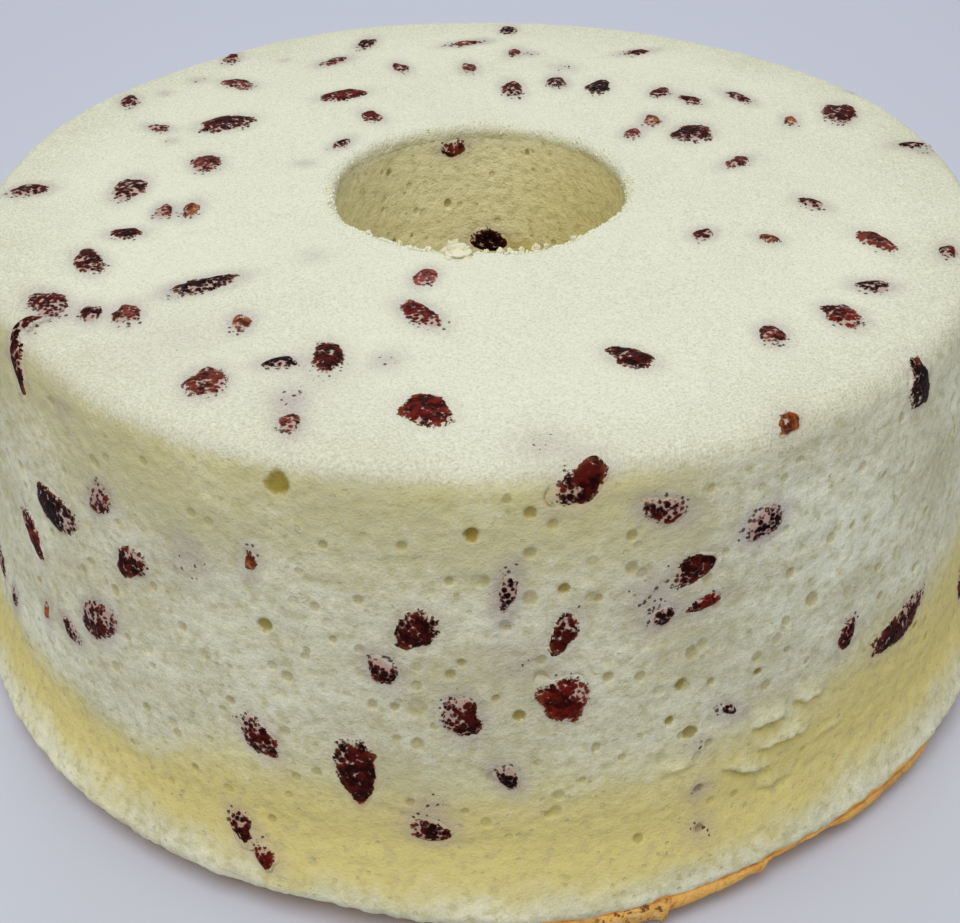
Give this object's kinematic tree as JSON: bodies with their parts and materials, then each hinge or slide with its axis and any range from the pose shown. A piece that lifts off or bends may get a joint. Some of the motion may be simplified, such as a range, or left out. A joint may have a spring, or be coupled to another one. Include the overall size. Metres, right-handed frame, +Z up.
{
  "type": "chiffon cake",
  "caption": "Ring-shaped cranberry chiffon cake, turned out upside down: flat top, tapering side, flared foot and a tube hole, with dried cranberries in the crumb.",
  "frame": {"origin": "on the table, under the middle of the cake's hole", "axes": "+Z up along the hole's axis; +X and +Y across the cake, with the side that the cake is usually seen from towards -Y"},
  "size_m": [0.194, 0.194, 0.0786],
  "materials": {
    "sponge": "matte, fine open crumb of a pale yellow sponge",
    "cranberry": "satin, wrinkled skin of a dried cranberry"
  },
  "bodies": {
    "root": {"sponge": "sponge", "cranberry_far_01": "cranberry", "cranberry_far_02": "cranberry", "cranberry_far_03": "cranberry", "cranberry_far_04": "cranberry", "cranberry_far_05": "cranberry", "cranberry_far_06": "cranberry", "cranberry_far_07": "cranberry", "cranberry_far_08": "cranberry", "cranberry_far_09": "cranberry", "cranberry_far_10": "cranberry", "cranberry_far_11": "cranberry", "cranberry_far_12": "cranberry", "cranberry_far_13": "cranberry", "cranberry_far_14": "cranberry", "cranberry_far_15": "cranberry", "cranberry_far_16": "cranberry", "cranberry_far_17": "cranberry", "cranberry_far_18": "cranberry", "cranberry_hole_01": "cranberry", "cranberry_hole_02": "cranberry", "cranberry_side_01": "cranberry", "cranberry_side_02": "cranberry", "cranberry_side_03": "cranberry", "cranberry_side_04": "cranberry", "cranberry_side_05": "cranberry", "cranberry_side_06": "cranberry", "cranberry_side_07": "cranberry", "cranberry_side_08": "cranberry", "cranberry_side_09": "cranberry", "cranberry_side_10": "cranberry", "cranberry_side_11": "cranberry", "cranberry_side_12": "cranberry", "cranberry_side_13": "cranberry", "cranberry_side_14": "cranberry", "cranberry_side_15": "cranberry", "cranberry_side_16": "cranberry", "cranberry_side_17": "cranberry", "cranberry_side_18": "cranberry", "cranberry_side_19": "cranberry", "cranberry_top_01": "cranberry", "cranberry_top_02": "cranberry", "cranberry_top_03": "cranberry", "cranberry_top_04": "cranberry", "cranberry_top_05": "cranberry", "cranberry_top_06": "cranberry", "cranberry_top_07": "cranberry", "cranberry_top_08": "cranberry", "cranberry_top_09": "cranberry", "cranberry_top_10": "cranberry", "cranberry_top_11": "cranberry", "cranberry_top_12": "cranberry", "cranberry_top_13": "cranberry", "cranberry_top_14": "cranberry", "cranberry_top_15": "cranberry", "cranberry_top_16": "cranberry", "cranberry_top_17": "cranberry", "cranberry_top_18": "cranberry", "cranberry_top_19": "cranberry", "cranberry_top_20": "cranberry"}
  },
  "joints": []
}
